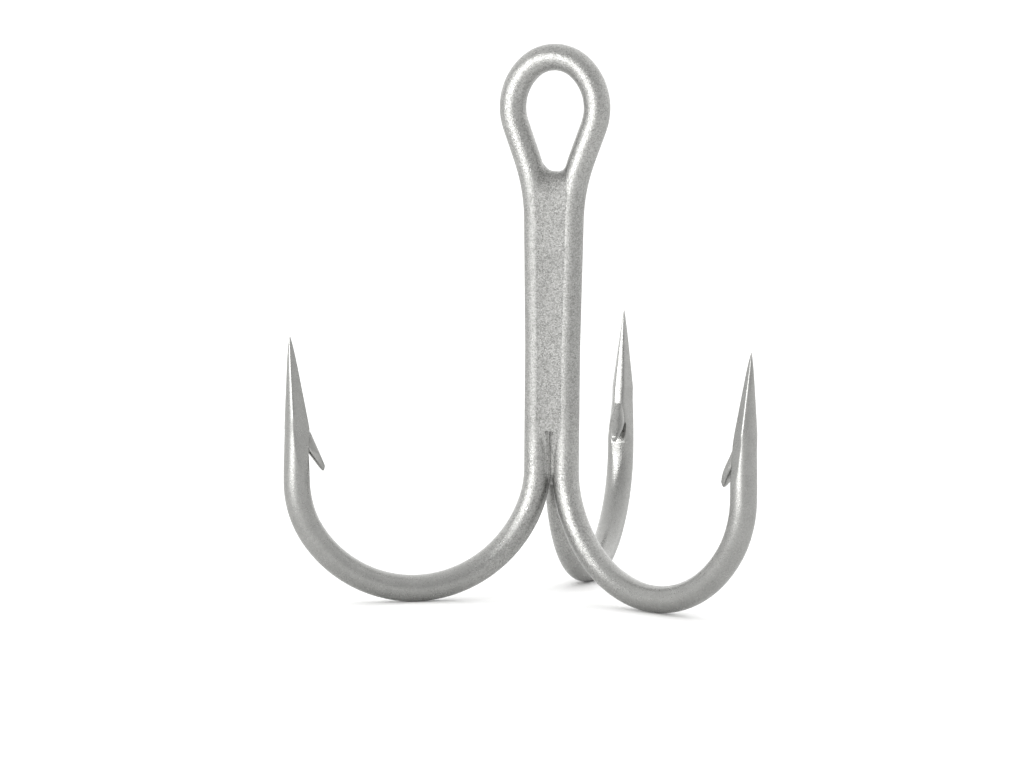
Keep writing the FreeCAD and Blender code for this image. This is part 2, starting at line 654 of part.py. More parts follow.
# the rear seams are the front groove turned about the shanks' axis, one third of a turn each way
for side, turn in (("left", -120), ("right", 120)):
    box = doc.addObject("Part::Box", side.capitalize() + "RearBlank")
    box.setExpression("Length", SPACING)
    box.setExpression("Width", SEAM_DEPTH)
    box.setExpression("Height", "-Sizes.rear_seam_drop - " + FLOOR + " - Sizes.seam_foot")
    box.Placement.Rotation = FreeCAD.Rotation(FreeCAD.Vector(0, 0, 1), turn)
    axis_y = SHANK_CIRCLE + " / 2"
    reach = "(" + SEAM_DEPTH + " + " + axis_y + ")"
    box.setExpression("Placement.Base.x", "%s * sin(%d deg) - %s * cos(%d deg)"
                      % (reach, turn, HALF_SPACING, turn))
    box.setExpression("Placement.Base.y", "%s - %s * cos(%d deg) - %s * sin(%d deg)"
                      % (axis_y, reach, turn, HALF_SPACING, turn))
    box.setExpression("Placement.Base.z", FLOOR + " + Sizes.seam_foot")
    seam = cut_by(side.capitalize() + "Rear", box, (twin, third))
    seam.Label = side + "_rear_braze_seam"

# the core stands on the triangle between the three shanks' axes
core = doc.addObject("Part::Prism", "CoreBlank")
core.Polygon = 3
core.setExpression("Circumradius", SHANK_CIRCLE)
core.setExpression("Height", "-Sizes.core_drop - " + FLOOR + " - Sizes.bead_foot")
core.Placement.Rotation = FreeCAD.Rotation(FreeCAD.Vector(0, 0, 1), 90)
core.setExpression("Placement.Base.y", SHANK_CIRCLE + " / 2")
core.setExpression("Placement.Base.z", FLOOR + " + Sizes.bead_foot")
core_braze = cut_by("Core", core, (twin, third))
core_braze.Label = "core_braze"


# --- checks and files ---------------------------------------------------------------------------------

doc.recompute()
for item in doc.Objects:
    if "Invalid" in item.State or "Error" in item.State:
        raise RuntimeError(item.Name + " did not recompute: " + ", ".join(item.State))
    if item.TypeId == "Sketcher::SketchObject" and not item.FullyConstrained:
        raise RuntimeError(item.Name + " is not fully constrained")

pieces = {item.Label: item for item in doc.Objects}
for label in LABELS:
    shape = pieces[label].Shape
    if shape.isNull() or not shape.isValid() or len(shape.Solids) != 1:
        raise RuntimeError(label + " is not one valid solid")

os.makedirs("parts", exist_ok=True)
for label in LABELS:
    shape = pieces[label].Shape
    shape.exportStep("parts/" + label + ".step")
    print("%-22s %8.3f mm3" % (label, shape.Volume))
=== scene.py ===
"""Treble hook: two bent steel wires brazed into one hook with three barbed points and a closed eye,
plated satin grey. Metres, +Z up, the origin at the centre that the eye's crown is bent round."""

import math
from functools import partial

import bmesh
import bpy
from mathutils import Matrix, Vector


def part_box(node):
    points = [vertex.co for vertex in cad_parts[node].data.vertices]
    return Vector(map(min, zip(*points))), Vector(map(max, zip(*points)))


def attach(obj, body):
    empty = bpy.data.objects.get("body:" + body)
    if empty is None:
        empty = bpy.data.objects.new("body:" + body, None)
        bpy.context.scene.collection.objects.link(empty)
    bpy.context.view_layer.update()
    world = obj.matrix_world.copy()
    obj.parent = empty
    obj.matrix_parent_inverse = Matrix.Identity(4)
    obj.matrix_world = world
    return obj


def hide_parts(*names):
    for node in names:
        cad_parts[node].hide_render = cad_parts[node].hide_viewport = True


bl_info = {
    "name": "Treble Hook",
    "version": (1, 0, 0),
    "blender": (4, 5, 0),
    "location": "3D View > Sidebar > Treble Hook",
    "description": "Bends, points, barbs and brazes a treble hook, and sets up its studio",
    "category": "Add Mesh",
}

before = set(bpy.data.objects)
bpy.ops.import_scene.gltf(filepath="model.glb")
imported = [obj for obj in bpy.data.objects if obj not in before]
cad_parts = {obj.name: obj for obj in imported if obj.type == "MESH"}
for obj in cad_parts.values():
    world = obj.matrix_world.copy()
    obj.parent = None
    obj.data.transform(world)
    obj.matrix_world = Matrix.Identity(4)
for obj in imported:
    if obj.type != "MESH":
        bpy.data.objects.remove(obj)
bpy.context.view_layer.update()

MM = 0.001
UP = Vector((0, 0, 1))
ACROSS_EYE = Vector((1, 0, 0))
THROUGH_EYE = Vector((0, 1, 0))

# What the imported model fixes.
TWIN_LOW, TWIN_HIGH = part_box("twin_hook_wire")
THIRD_LOW, THIRD_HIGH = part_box("third_hook_wire")
SEAM_LOW, SEAM_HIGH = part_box("front_braze_seam")
REAR_LOW, REAR_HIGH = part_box("left_rear_braze_seam")
WIRE_RADIUS = (THIRD_HIGH.x - THIRD_LOW.x) / 2
THIRD_AXIS_Y = THIRD_LOW.y + WIRE_RADIUS
SHANK_CIRCLE = THIRD_AXIS_Y / 1.5          # radius that the three shanks stand on
SHANK_CENTRE = Vector((0, SHANK_CIRCLE / 2, 0))
HALF_SPACING = SHANK_CIRCLE * math.sqrt(3) / 2
CROWN_RADIUS = TWIN_HIGH.z - WIRE_RADIUS
GAPE = THIRD_HIGH.y - THIRD_AXIS_Y - WIRE_RADIUS
FLOOR = TWIN_LOW.z
LOWEST = FLOOR + WIRE_RADIUS               # centre line at the bottom of the bends
RIGHT_WAY = Vector((math.cos(math.radians(-30)), math.sin(math.radians(-30)), 0))  # right hook's

MERGE = 0.0005 * MM        # vertices nearer than this are one
SEAM_MERGE = 0.001 * MM    # the same where two halves meet, and for slivers that a cut leaves
CREASE = 32                # degrees; a sharper edge is not smoothed


def linear_colour(code):
    """An sRGB hex colour as linear RGBA."""
    channels = [int(code[i:i + 2], 16) / 255 for i in (1, 3, 5)]
    linear = [c / 12.92 if c <= 0.04045 else ((c + 0.055) / 1.055) ** 2.4 for c in channels]
    return (*linear, 1.0)


def length_property(name, default, description):
    return bpy.props.FloatProperty(
        name=name, default=default * MM, description=description, unit="LENGTH", precision=5)


def angle_property(name, default, description):
    return bpy.props.FloatProperty(
        name=name, default=math.radians(default), description=description, subtype="ANGLE")


def colour_property(name, code, description):
    return bpy.props.FloatVectorProperty(
        name=name, size=4, default=linear_colour(code), description=description,
        subtype="COLOR", min=0, max=1)


class WireSizes(bpy.types.PropertyGroup):
    crown_turn: angle_property("Crown turn", 41.7, "Turned by the crown, each side of the top")
    cheek_radius: length_property("Cheek radius", 5.05, "Flatter arcs at the eye's widest part")
    throat_angle: angle_property("Throat angle", 20.0, "Slope of the legs that close the eye")
    neck_drop: length_property("Neck drop", 11.55, "Crown centre down to the foot of the neck")
    shank_taper: angle_property("Shank taper", 1.07, "Slope of the twin shanks below the neck")
    taper_drop: length_property("Taper drop", 24.2, "Down to where the shanks run parallel")
    blend_radius: length_property("Blend radius", 60.0, "Arc between the sloping and straight shank")
    heel_radius: length_property("Heel radius", 9.5, "First arc of the bend, from the shank")
    heel_turn: angle_property("Heel turn", 20.1, "Turned by the heel")
    front_radius: length_property("Front radius", 9.2, "Last arc of the bend, up to the point")
    front_turn: angle_property("Front turn", 34.7, "Turned by the last arc")
    end_round: length_property("End round", 0.3, "Broken edge of the third wire's cut end")
    sides: bpy.props.IntProperty(
        name="Sides", default=80, min=12, max=128, description="Faces round the wire")
    step: length_property("Step", 0.4, "Length of a face along the wire")


class PointSizes(bpy.types.PropertyGroup):
    foot: length_property("Foot", 1.0, "Straight wire between the bend and the point")
    length: length_property("Length", 12.5, "Shaped length, tip included")
    taper: length_property("Taper", 8.8, "Part of it that thins to the tip")
    tip_offset: length_property("Tip offset", 0.76, "Tip outside the wire's axis")
    flank_angle: angle_property("Flank angle", 110.0, "Way a side flat faces, from outward")
    flank_depth: length_property("Flank depth", 0.42, "Pressed off each side, at full width")
    inner_depth: length_property("Inner depth", 0.083, "Pressed off the inner side")
    outer_depth: length_property("Outer depth", 0.075, "Pressed off the outer side")
    ridge_round: length_property("Ridge round", 0.16, "Width of the rounding along the ridges")
    rings: bpy.props.IntProperty(
        name="Rings", default=64, min=8, max=128, description="Faces along the point")


class BarbSizes(bpy.types.PropertyGroup):
    tip_drop: length_property("Tip drop", 12.62, "Point's tip down to the barb's tip")
    length: length_property("Length", 3.6, "Along the point")
    stand: length_property("Stand", 1.37, "Barb's tip off the wire's inner side")
    tip_height: length_property("Tip height", 0.5, "Height of the blunt tip")
    tip_thickness: length_property("Tip thickness", 0.3, "Thickness at the blunt tip")
    tip_width: length_property("Tip width", 0.34, "Width at the blunt tip")
    width: length_property("Width", 1.4, "Where it is widest")
    widest: length_property("Widest", 1.7, "Tip up to where it is widest")
    top_width: length_property("Top width", 0.9, "Where it runs out in the point's inner flat")
    root_depth: length_property("Root depth", 1.6, "How far the barb reaches into the wire")
    notch: length_property("Notch", 1.42, "Tip up to the top of the notch behind it")
    ramp_depth: length_property("Ramp depth", 0.32, "Depth of the cut that raised the barb")
    ramp_length: length_property("Ramp length", 4.6, "Length of that cut, down the wire")


class BrazeSizes(bpy.types.PropertyGroup):
    seam_foot: length_property("Seam foot", 15.6, "Bottom of the full seams above the floor")
    arch: length_property("Arch", 0.3, "Height of the arch that the front seam ends in")
    channel_width: length_property("Channel width", 0.52, "Channel below the arch")
    channel_depth: length_property("Channel depth", 0.07, "Its depth")
    bead_width: length_property("Bead width", 0.12, "Half width of the thin bead along it")
    bead_depth: length_property("Bead depth", 0.98, "Alloy below the arch, at the wires")
    bead_crown: length_property("Bead crown", 0.12, "Height of the bead over the channel's edges")
    web_depth: length_property("Web depth", 0.75, "Front of the web at the bottom of the eye")
    web_slope: length_property("Web slope", 2.1, "Height over which the web grows flush")
    web_lift: length_property("Web lift", 0.8, "Rise of the web's top along the wires")


class Finish(bpy.types.PropertyGroup):
    plating: colour_property("Plating", "#a2a2a0", "Bright grains of the tin plating")
    plating_dull: colour_property("Dull plating", "#7a7a78", "Duller grains of the plating")
    braze: colour_property("Braze", "#9e9e9c", "Bright grains over the brazing alloy")
    braze_dull: colour_property("Dull braze", "#686866", "Duller grains over the alloy")
    floor: colour_property("Floor", "#f4f4f3", "Pale studio floor")
    floor_tooth: colour_property("Floor tooth", "#f9f9f9", "High spots of the floor's tooth")
    grain: length_property("Grain", 0.11, "Width of a grain in the plating")
    cloud: length_property("Cloud", 1.6, "Width of the soft clouding in the plating")
    flash_roughness: bpy.props.FloatProperty(
        name="Flash roughness", default=0.18, min=0, max=1, subtype="FACTOR",
        description="Added where alloy has spread")


class Stage(bpy.types.PropertyGroup):
    azimuth: angle_property("Azimuth", 15.67, "Camera round the hook, from the front")
    elevation: angle_property("Elevation", 5.755, "Camera above the horizon")
    roll: angle_property("Roll", 0.525, "Camera's tilt")
    aim_drop: length_property("Aim drop", 19.206, "Crown centre down to the level aimed at")
    distance: length_property("Distance", 615.83, "Camera to the shank")
    shift_right: length_property("Shift right", 4.045, "Hook left of the view's middle")
    shift_up: length_property("Shift up", 7.802, "Hook over the view's middle")
    lens: bpy.props.FloatProperty(
        name="Lens", default=232.0, description="Focal length, on a 36 mm wide sensor")
    floor_size: length_property("Floor size", 4000, "Side of the studio floor")
    key: bpy.props.FloatProperty(name="Key", default=1.0, description="Strength of the key light")
    fill: bpy.props.FloatProperty(name="Fill", default=1.0, description="Strength of the soft fill")


# --- wire ---

def edges_between(verts):
    """The edges with both ends among these vertices, in an order that stays the same."""
    inside = set(verts)
    return list(dict.fromkeys(
        e for v in verts for e in v.link_edges if e.other_vert(v) in inside))


class Wire:
    """A round wire bent from one end: a ring of edges is swept along straight runs and arcs."""

    def __init__(self, mesh, start, heading, sizes):
        self.mesh = mesh
        self.place = start.copy()
        self.heading = heading.copy()
        self.step = sizes.step
        turn = heading.to_track_quat("Z", "Y").to_matrix().to_4x4()
        made = bmesh.ops.create_circle(
            mesh, cap_ends=False, radius=WIRE_RADIUS, segments=sizes.sides,
            matrix=Matrix.Translation(start) @ turn)
        self.take(made["verts"])

    def take(self, verts):
        """Takes these vertices, and the edges between them, as the wire's end."""
        self.ring = list(verts)
        self.edges = edges_between(self.ring)

    def sweep(self, steps, **motion):
        made = bmesh.ops.spin(self.mesh, geom=self.ring + self.edges, steps=steps, **motion)
        last = made["geom_last"]
        self.ring = [g for g in last if isinstance(g, bmesh.types.BMVert)]
        self.edges = [g for g in last if isinstance(g, bmesh.types.BMEdge)]

    def run(self, length, steps=0):
        """Straight on."""
        steps = steps or max(1, round(length / self.step))
        self.sweep(steps, cent=self.place, axis=self.heading, angle=0,
                   dvec=self.heading * (length / steps))
        self.place += self.heading * length

    def bend(self, radius, turn, axis):
        """Round an arc, turning about the axis."""
        centre = self.place + axis.cross(self.heading) * radius
        steps = max(1, round(radius * turn / self.step))
        self.sweep(steps, cent=centre, axis=axis, angle=turn)
        rotation = Matrix.Rotation(turn, 3, axis)
        self.place = centre + rotation @ (self.place - centre)
        self.heading = rotation @ self.heading


def close_eye(wire):
    """Length of the eye's straight leg, radius of its neck and length of the sloping shank, which
    close the path between the cheek and the straight part of the shank."""
    offset = CROWN_RADIUS - wire.cheek_radius
    sin_throat, cos_throat = math.sin(wire.throat_angle), math.cos(wire.throat_angle)
    sin_taper, cos_taper = math.sin(wire.shank_taper), math.cos(wire.shank_taper)
    cheek_x = offset * math.sin(wire.crown_turn) + wire.cheek_radius * cos_throat
    cheek_z = offset * math.cos(wire.crown_turn) - wire.cheek_radius * sin_throat
    taper_x = HALF_SPACING + wire.blend_radius * (1 - cos_taper)
    taper_z = -wire.taper_drop + wire.blend_radius * sin_taper
    neck_x = taper_x + (-wire.neck_drop - taper_z) * sin_taper / cos_taper
    right, down = cheek_x - neck_x, cheek_z + wire.neck_drop
    a, b = sin_throat, cos_taper - cos_throat
    c, d = cos_throat, sin_throat - sin_taper
    leg = (right * d - b * down) / (a * d - b * c)
    neck = (a * down - c * right) / (a * d - b * c)
    return leg, neck, (-wire.neck_drop - taper_z) / cos_taper


def twin_axis(level, wire):
    """Reach of a twin wire's centre line from the middle, at a level below the eye's legs."""
    neck = close_eye(wire)[1]
    blend_top = -wire.taper_drop + wire.blend_radius * math.sin(wire.shank_taper)
    if level <= -wire.taper_drop:
        return HALF_SPACING
    if level <= blend_top:
        rise = level + wire.taper_drop
        return HALF_SPACING + wire.blend_radius - math.sqrt(wire.blend_radius ** 2 - rise ** 2)
    blend_x = HALF_SPACING + wire.blend_radius * (1 - math.cos(wire.shank_taper))
    if level <= -wire.neck_drop:
        return blend_x + (level - blend_top) * math.tan(wire.shank_taper)
    foot_x = blend_x + (-wire.neck_drop - blend_top) * math.tan(wire.shank_taper)
    centre_x = foot_x + neck * math.cos(wire.shank_taper)
    centre_z = -wire.neck_drop - neck * math.sin(wire.shank_taper)
    return centre_x - math.sqrt(neck ** 2 - (level - centre_z) ** 2)


def main_radius(wire):
    """Radius of the bend's main arc, which makes up the gape with the arcs beside it."""
    spread = wire.heel_radius * (1 - math.cos(wire.heel_turn))
    spread += wire.front_radius * (1 - math.cos(wire.front_turn))
    return (GAPE - spread) / (math.cos(wire.heel_turn) + math.cos(wire.front_turn))


def bend_hook(run, outward, wire):
    """Bends the wire's end out from the shank and up to the foot of the point."""
    radius = main_radius(wire)
    heel_level = LOWEST + radius - (radius - wire.heel_radius) * math.sin(wire.heel_turn)
    axis = outward.cross(UP)
    run.run(run.place.z - heel_level)
    run.bend(wire.heel_radius, wire.heel_turn, axis)
    run.bend(radius, math.pi - wire.heel_turn - wire.front_turn, axis)
    run.bend(wire.front_radius, wire.front_turn, axis)


def soft_min(a, b, width):
    """The smaller of two, rounded over where they cross."""
    if width <= 0:
        return min(a, b)
    blend = max(width - abs(a - b), 0) / width
    return min(a, b) - blend * blend * width / 4


def smooth_step(low, high, value):
    share = min(max((value - low) / (high - low), 0), 1)
    return share * share * (3 - 2 * share)


# A point's size below its tip: a blunt tip, and then a steady slope until the wire is whole.
BLUNT_HEIGHT = 0.9 * MM
BLUNT_DEPTH, DEPTH_SLOPE = 0.34 * MM, 0.2344
BLUNT_WIDTH, WIDTH_SLOPE = 0.16 * MM, 0.272
WHOLE_WIDTH = 2.2 * MM
FLAT_EDGE = 0.1            # cosine past which a flat faces too far away to press a vertex
RIDGES_FORMED = 0.5        # share of the pressing by which the ridges have their full rounding
POINT_CROWDING = 1.5       # how much closer the rows stand towards the tip; 1 is evenly


def press_point(verts, foot, outward, point):
    """Presses two side flats, an inner flat and a low outer face into the wire's end, and thins it
    to a blunt tip that lies outside the wire's axis."""
    across = UP.cross(outward)
    tip_level = foot.z + point.length
    inner_reach = WIRE_RADIUS - point.inner_depth
    outer_reach = WIRE_RADIUS - point.outer_depth
    for vert in verts:
        below_tip = tip_level - vert.co.z
        offset = vert.co - foot
        angle = math.atan2(offset.dot(across), offset.dot(outward))
        pressed = min((point.length - below_tip) / (point.length - point.taper), 1)
        rounding = point.ridge_round * smooth_step(0, RIDGES_FORMED, pressed)
        reach = WIRE_RADIUS - point.outer_depth * pressed
        limits = [(point.flank_angle, point.flank_depth), (-point.flank_angle, point.flank_depth),
                  (math.pi, point.inner_depth)]
        for facing, cut in limits:
            lean = math.cos(angle - facing)
            if lean > FLAT_EDGE:
                reach = soft_min(reach, (WIRE_RADIUS - cut * pressed) / lean, rounding)
        blunt = 1 - math.exp(-below_tip / BLUNT_HEIGHT)
        depth = BLUNT_DEPTH * blunt + DEPTH_SLOPE * below_tip
        width = BLUNT_WIDTH * blunt + WIDTH_SLOPE * below_tip
        depth_share = min(depth / (inner_reach + outer_reach), 1)
        width_share = min(width / WHOLE_WIDTH, 1)
        middle = point.tip_offset * (1 - min(below_tip / point.taper, 1))
        along = middle + reach * math.cos(angle) * depth_share
        aside = reach * math.sin(angle) * width_share
        vert.co = foot + outward * along + across * aside + UP * (vert.co.z - foot.z)


def draw_point(run, outward, point):
    """Runs the wire up to its tip in ever shorter steps, and shapes that length."""
    run.run(point.foot)
    foot = run.place.copy()
    shaped = []
    heights = [point.length * (1 - (1 - i / point.rings) ** POINT_CROWDING)
               for i in range(point.rings + 1)]
    for low, high in zip(heights, heights[1:]):
        run.run(high - low, steps=1)
        shaped += run.ring
    press_point(shaped, foot, outward, point)
    tip = Vector([math.fsum(v.co[i] for v in run.ring) / len(run.ring) for i in range(3)])
    bmesh.ops.pointmerge(run.mesh, verts=run.ring, merge_co=tip)
    return foot


def loft(mesh, stations, sides, spin=0.0, fullness=2.0):
    """A closed solid through flat rings: each station is a matrix that places a unit ring, which
    is a circle at a fullness of 2 and nears a square above that."""
    turn = Matrix.Rotation(spin, 4, "Z")
    ring = bmesh.ops.create_circle(
        mesh, cap_ends=True, radius=1, segments=sides, matrix=turn)["verts"]
    if fullness != 2:
        for vert in ring:
            spread = abs(vert.co.x) ** fullness + abs(vert.co.y) ** fullness
            vert.co *= spread ** (-1 / fullness)
    bmesh.ops.transform(mesh, matrix=stations[0], verts=ring)
    for before, after in zip(stations, stations[1:]):
        made = bmesh.ops.extrude_edge_only(mesh, edges=edges_between(ring))["geom"]
        ring = [g for g in made if isinstance(g, bmesh.types.BMVert)]
        bmesh.ops.transform(mesh, matrix=after @ before.inverted(), verts=ring)
    mesh.faces.new(sorted_ring(ring))


def sorted_ring(verts):
    """The vertices of a ring in order round it."""
    inside = set(verts)
    ordered = [verts[0]]
    while len(ordered) < len(verts):
        for edge in ordered[-1].link_edges:
            other = edge.other_vert(ordered[-1])
            if other in inside and other not in ordered:
                ordered.append(other)
                break
    return ordered


def hook_frame(foot, outward):
    """Matrix from a hook's own directions (outward, across, up) at the foot of its point."""
    across = UP.cross(outward)
    columns = Matrix((outward, across, UP)).transposed().to_4x4()
    return Matrix.Translation(foot) @ columns


TONGUE_ROWS, TONGUE_SIDES = 40, 48
TONGUE_CROWDING = 1.8      # how much closer the rows stand towards the free end
TONGUE_FULLNESS = 3.2      # its section is nearly square, with rounded corners
END_ROUNDNESS = 0.8        # of the free end: 1 comes to an edge, 0 is cut off square
END_WIDTH = 0.35           # share of its width that the rounding leaves at the free end


def add_barb_tongue(mesh, foot, outward, point, barb):
    """The barb: a tongue that starts blunt and thin at its free end, widens to the wire's own
    width, and runs out in the flat on the inner side of the point."""
    place = hook_frame(foot, outward)
    tip_level = point.length - barb.tip_drop
    under_slope = (barb.stand - barb.tip_thickness) / barb.notch
    stations = []
    for i in range(TONGUE_ROWS + 1):
        rise = barb.length * (i / TONGUE_ROWS) ** TONGUE_CROWDING
        slope = min((barb.length - rise) / (barb.length - barb.tip_height), 1)
        rounded = math.sqrt(1 - max(1 - rise / barb.tip_height, 0) ** 2 * END_ROUNDNESS)
        thinned = barb.tip_thickness / 2 * (1 - rounded)
        outer = -WIRE_RADIUS - barb.stand * slope + thinned
        inner = -WIRE_RADIUS - barb.stand + barb.tip_thickness + under_slope * rise
        inner = min(inner, -WIRE_RADIUS + barb.root_depth) - thinned
        widening = min(rise / barb.widest, 1)
        width = barb.tip_width + (barb.width - barb.tip_width) * math.sin(math.pi / 2 * widening)
        width *= END_WIDTH + (1 - END_WIDTH) * rounded
        narrowing = smooth_step(barb.widest, barb.length, rise)
        width -= (width - barb.top_width) * narrowing
        centre = Matrix.Translation(((outer + inner) / 2, 0, tip_level + rise))
        stations.append(place @ centre @ Matrix.Diagonal(((inner - outer) / 2, width / 2, 1, 1)))
    loft(mesh, stations, TONGUE_SIDES, fullness=TONGUE_FULLNESS)


def inner_side(level, wire, point):
    """Reach of the wire's inner side from the point's axis, at a level from the point's foot."""
    below = -level - point.foot
    if below <= 0:
        return -WIRE_RADIUS
    inner_radius = wire.front_radius - WIRE_RADIUS
    return -wire.front_radius + math.sqrt(inner_radius ** 2 - below ** 2)


RAMP_ROWS = 24
RAMP_RUNOUT = 1.05         # the cut has left the wire just before the cutter's lower end


def add_ramp_cutter(mesh, foot, outward, wire, point, barb):
    """What is cut away under the barb: a long shallow flat that follows the wire's inner side. The
    cutter is a square bar, broader than the wire."""
    place = hook_frame(foot, outward)
    top = point.length - barb.tip_drop + barb.notch + barb.ramp_depth
    width, thickness = 2 * WIRE_RADIUS, barb.stand
    stations = []
    for i in range(RAMP_ROWS + 1):
        share = i / RAMP_ROWS
        level = top - (barb.ramp_length + barb.ramp_depth) * share
        cut = barb.ramp_depth * (1 - share * RAMP_RUNOUT)
        reach = inner_side(level, wire, point) + cut
        centre = Matrix.Translation((reach - thickness / 2, 0, level))
        half = Matrix.Diagonal((thickness / math.sqrt(2), width / math.sqrt(2), 1, 1))
        stations.append(place @ centre @ half)
    loft(mesh, stations, 4, spin=math.pi / 4)


# --- braze ---

FLUSH = WIRE_RADIUS - 0.01 * MM    # alloy that stands as high as the wires
SEAM_SIDES = 112
SEAM_CREASE = 60                   # degrees; alloy flows, so only its ends have sharp edges

# The channel below the front seam's arch.
ARCH_REACH = 0.3 * MM              # how far from the arch it is broader and deeper
ARCH_BROADER, ARCH_DEEPER = 0.8, 1.2
CHANNEL_EDGE = 0.05 * MM           # half of the slope at its closed end
CHANNEL_FLAT = 0.65                # share of its half width that is flat


def bead_relief(aside, level, foot, braze):
    """Height of the front seam's face off its plain hollow: a channel with a thin bead along it
    runs up the middle and ends in an arch."""
    near = math.exp(-((level - foot - braze.arch) / ARCH_REACH) ** 2)
    width = braze.channel_width / 2 * (1 + ARCH_BROADER * near)
    depth = braze.channel_depth * (1 + ARCH_DEEPER * near)
    end = foot + braze.arch * math.sqrt(max(1 - (aside / width) ** 2, 0))
    opened = 1 - smooth_step(end - CHANNEL_EDGE, end + CHANNEL_EDGE, level)
    channel = depth * (1 - smooth_step(CHANNEL_FLAT * width, width, abs(aside)))
    bead = (braze.channel_depth + braze.bead_crown) * math.exp(-(aside / braze.bead_width) ** 2)
    return opened * (bead - channel)


# A ring round the alloy in a groove.
LEAST_GAP = 0.02 * MM              # half the front's least width
PAST_AXES = 0.1 * MM               # the hollow may reach this far behind the wires' axes
BURIED_SHARE = 0.1                 # share of the front, at each side, that is inside the wires
BURY_DEPTH = 0.12 * MM             # how deep it goes into them
LIFT_CURVE = 2.6                   # how late the lift comes on, from the middle to the sides


def groove_ring(verts, ends, level, contact, back, back_share, lift=0.0, closed=0.0, relief=None):
    """Places a ring of vertices round the alloy in a groove between two wires, at one level. The
    front runs off both wires at the contact depth, tangent to them, and is hollow between them;
    a relief adds to its depth. The back is flat. The lift raises the ring's sides over its
    middle, and a ring that is closed has shrunk to its middle depth."""
    middle = (ends[0] + ends[1]) / 2
    half = (ends[1] - ends[0]).length / 2
    across = (ends[1] - ends[0]).normalized()
    outward = across.cross(UP)
    flank = math.sqrt(WIRE_RADIUS ** 2 - contact ** 2)
    gap = max(half - flank, LEAST_GAP)
    hollow = min(gap * flank / (2 * contact), contact + PAST_AXES)
    middle_depth = (contact - hollow - back) / 2
    shown = 1 - BURIED_SHARE
    count = len(verts)
    front = count // 2
    for i, vert in enumerate(verts):
        if i <= front:
            share = -1 + 2 * i / front
            inner = min(abs(share) / shown, 1)
            buried = BURY_DEPTH * max(abs(share) - shown, 0) / BURIED_SHARE
            aside = math.copysign(gap * inner + buried, share)
            depth = contact - hollow * (1 - inner * inner) - buried
            if relief:
                depth += relief(aside)
        else:
            share = 1 - 2 * (i - front) / (count - front)
            inner = abs(share)
            aside = half * back_share * share
            depth = -back
        depth += (middle_depth - depth) * closed
        height = level + lift * inner ** LIFT_CURVE
        vert.co = middle + across * aside + outward * depth + UP * height


def add_seam(mesh, stations):
    """A closed run of alloy along a groove; each station holds what groove_ring needs, and the
    first ring's own radius is of no account."""
    ring = bmesh.ops.create_circle(mesh, cap_ends=True, radius=MM, segments=SEAM_SIDES)["verts"]
    ring = sorted_ring(ring)
    groove_ring(ring, **stations[0])
    for station in stations[1:]:
        edges = [mesh.edges.get((a, b)) for a, b in zip(ring, ring[1:] + ring[:1])]
        made = bmesh.ops.extrude_edge_only(mesh, edges=edges)["geom"]
        fresh = {g for g in made if isinstance(g, bmesh.types.BMVert)}
        ring = [next(e.other_vert(v) for e in v.link_edges if e.other_vert(v) in fresh)
                for v in ring]
        groove_ring(ring, **station)
    mesh.faces.new(ring)


# The front seam. Its rows stand closer at the bead's foot, at the arch and on the web.
FOOT_STEP, BEAD_STEP, ARCH_STEP, SEAM_STEP = 0.05 * MM, 0.35 * MM, 0.04 * MM, 0.5 * MM
FOOT_ROWS, ARCH_ROWS, ROWS_UNDER_ARCH, WEB_ROWS = 12, 26, 8, 32
BEAD_START = 0.45                  # share of the bead's depth that it starts with
BEAD_GROWN = 1.2 * MM              # above its foot, where it is whole
FILL_BELOW, FILL_ABOVE = 2.4 * MM, 0.6 * MM    # from the seam's foot, where the groove fills
FRONT_BACK = 0.9 * MM              # how far the alloy goes back between the wires
BACK_SHARE, WEB_BACK_SHARE = 0.3, 0.4          # width of that back, and what the web adds
WEB_CURVE, LIFT_GROWTH = 1.6, 2    # how late the web thins, and how late its sides rise
CREST_SHARE, CREST_CLOSED = 0.16, 0.98         # last share of the web, which rounds over


def front_seam_stations(wire, braze):
    """Front seam from the thin bead between the wires, through the arch where the full seam
    starts, up to the web that rounds off the bottom of the eye."""
    foot = FLOOR + braze.seam_foot
    bead_foot, top = SEAM_LOW.z, SEAM_HIGH.z
    slope_foot = top - braze.web_slope
    bead_rows = int((foot - bead_foot) / BEAD_STEP)
    seam_rows = int((slope_foot - foot - MM) / SEAM_STEP)
    levels = [bead_foot + FOOT_STEP * i for i in range(FOOT_ROWS)]
    levels += [bead_foot + BEAD_STEP * i for i in range(2, bead_rows)]
    levels += [foot + ARCH_STEP * (i - ROWS_UNDER_ARCH) for i in range(ARCH_ROWS)]
    levels += [foot + SEAM_STEP * (i + 2) for i in range(seam_rows)]
    levels += [slope_foot + braze.web_slope * i / WEB_ROWS for i in range(WEB_ROWS + 1)]
    stations = []
    for level in sorted(set(levels)):
        reach = twin_axis(level, wire)
        started = smooth_step(bead_foot - FOOT_STEP, bead_foot + BEAD_GROWN, level)
        filled = smooth_step(foot - FILL_BELOW, foot + FILL_ABOVE, level)
        contact = braze.bead_depth * (BEAD_START + (1 - BEAD_START) * started)
        contact += (FLUSH - contact) * filled
        rise = max(level - slope_foot, 0) / braze.web_slope
        contact -= (contact - braze.web_depth) * rise ** WEB_CURVE
        over = max((rise - (1 - CREST_SHARE)) / CREST_SHARE, 0)
        stations.append(dict(
            ends=(Vector((-reach, 0, 0)), Vector((reach, 0, 0))),
            level=level, contact=contact, back=FRONT_BACK,
            back_share=BACK_SHARE + WEB_BACK_SHARE * min(rise, 1),
            lift=braze.web_lift * rise ** LIFT_GROWTH,
            closed=CREST_CLOSED * (1 - math.sqrt(max(1 - over ** 2, 0))),
            relief=partial(bead_relief, level=level, foot=foot, braze=braze)))
    return stations


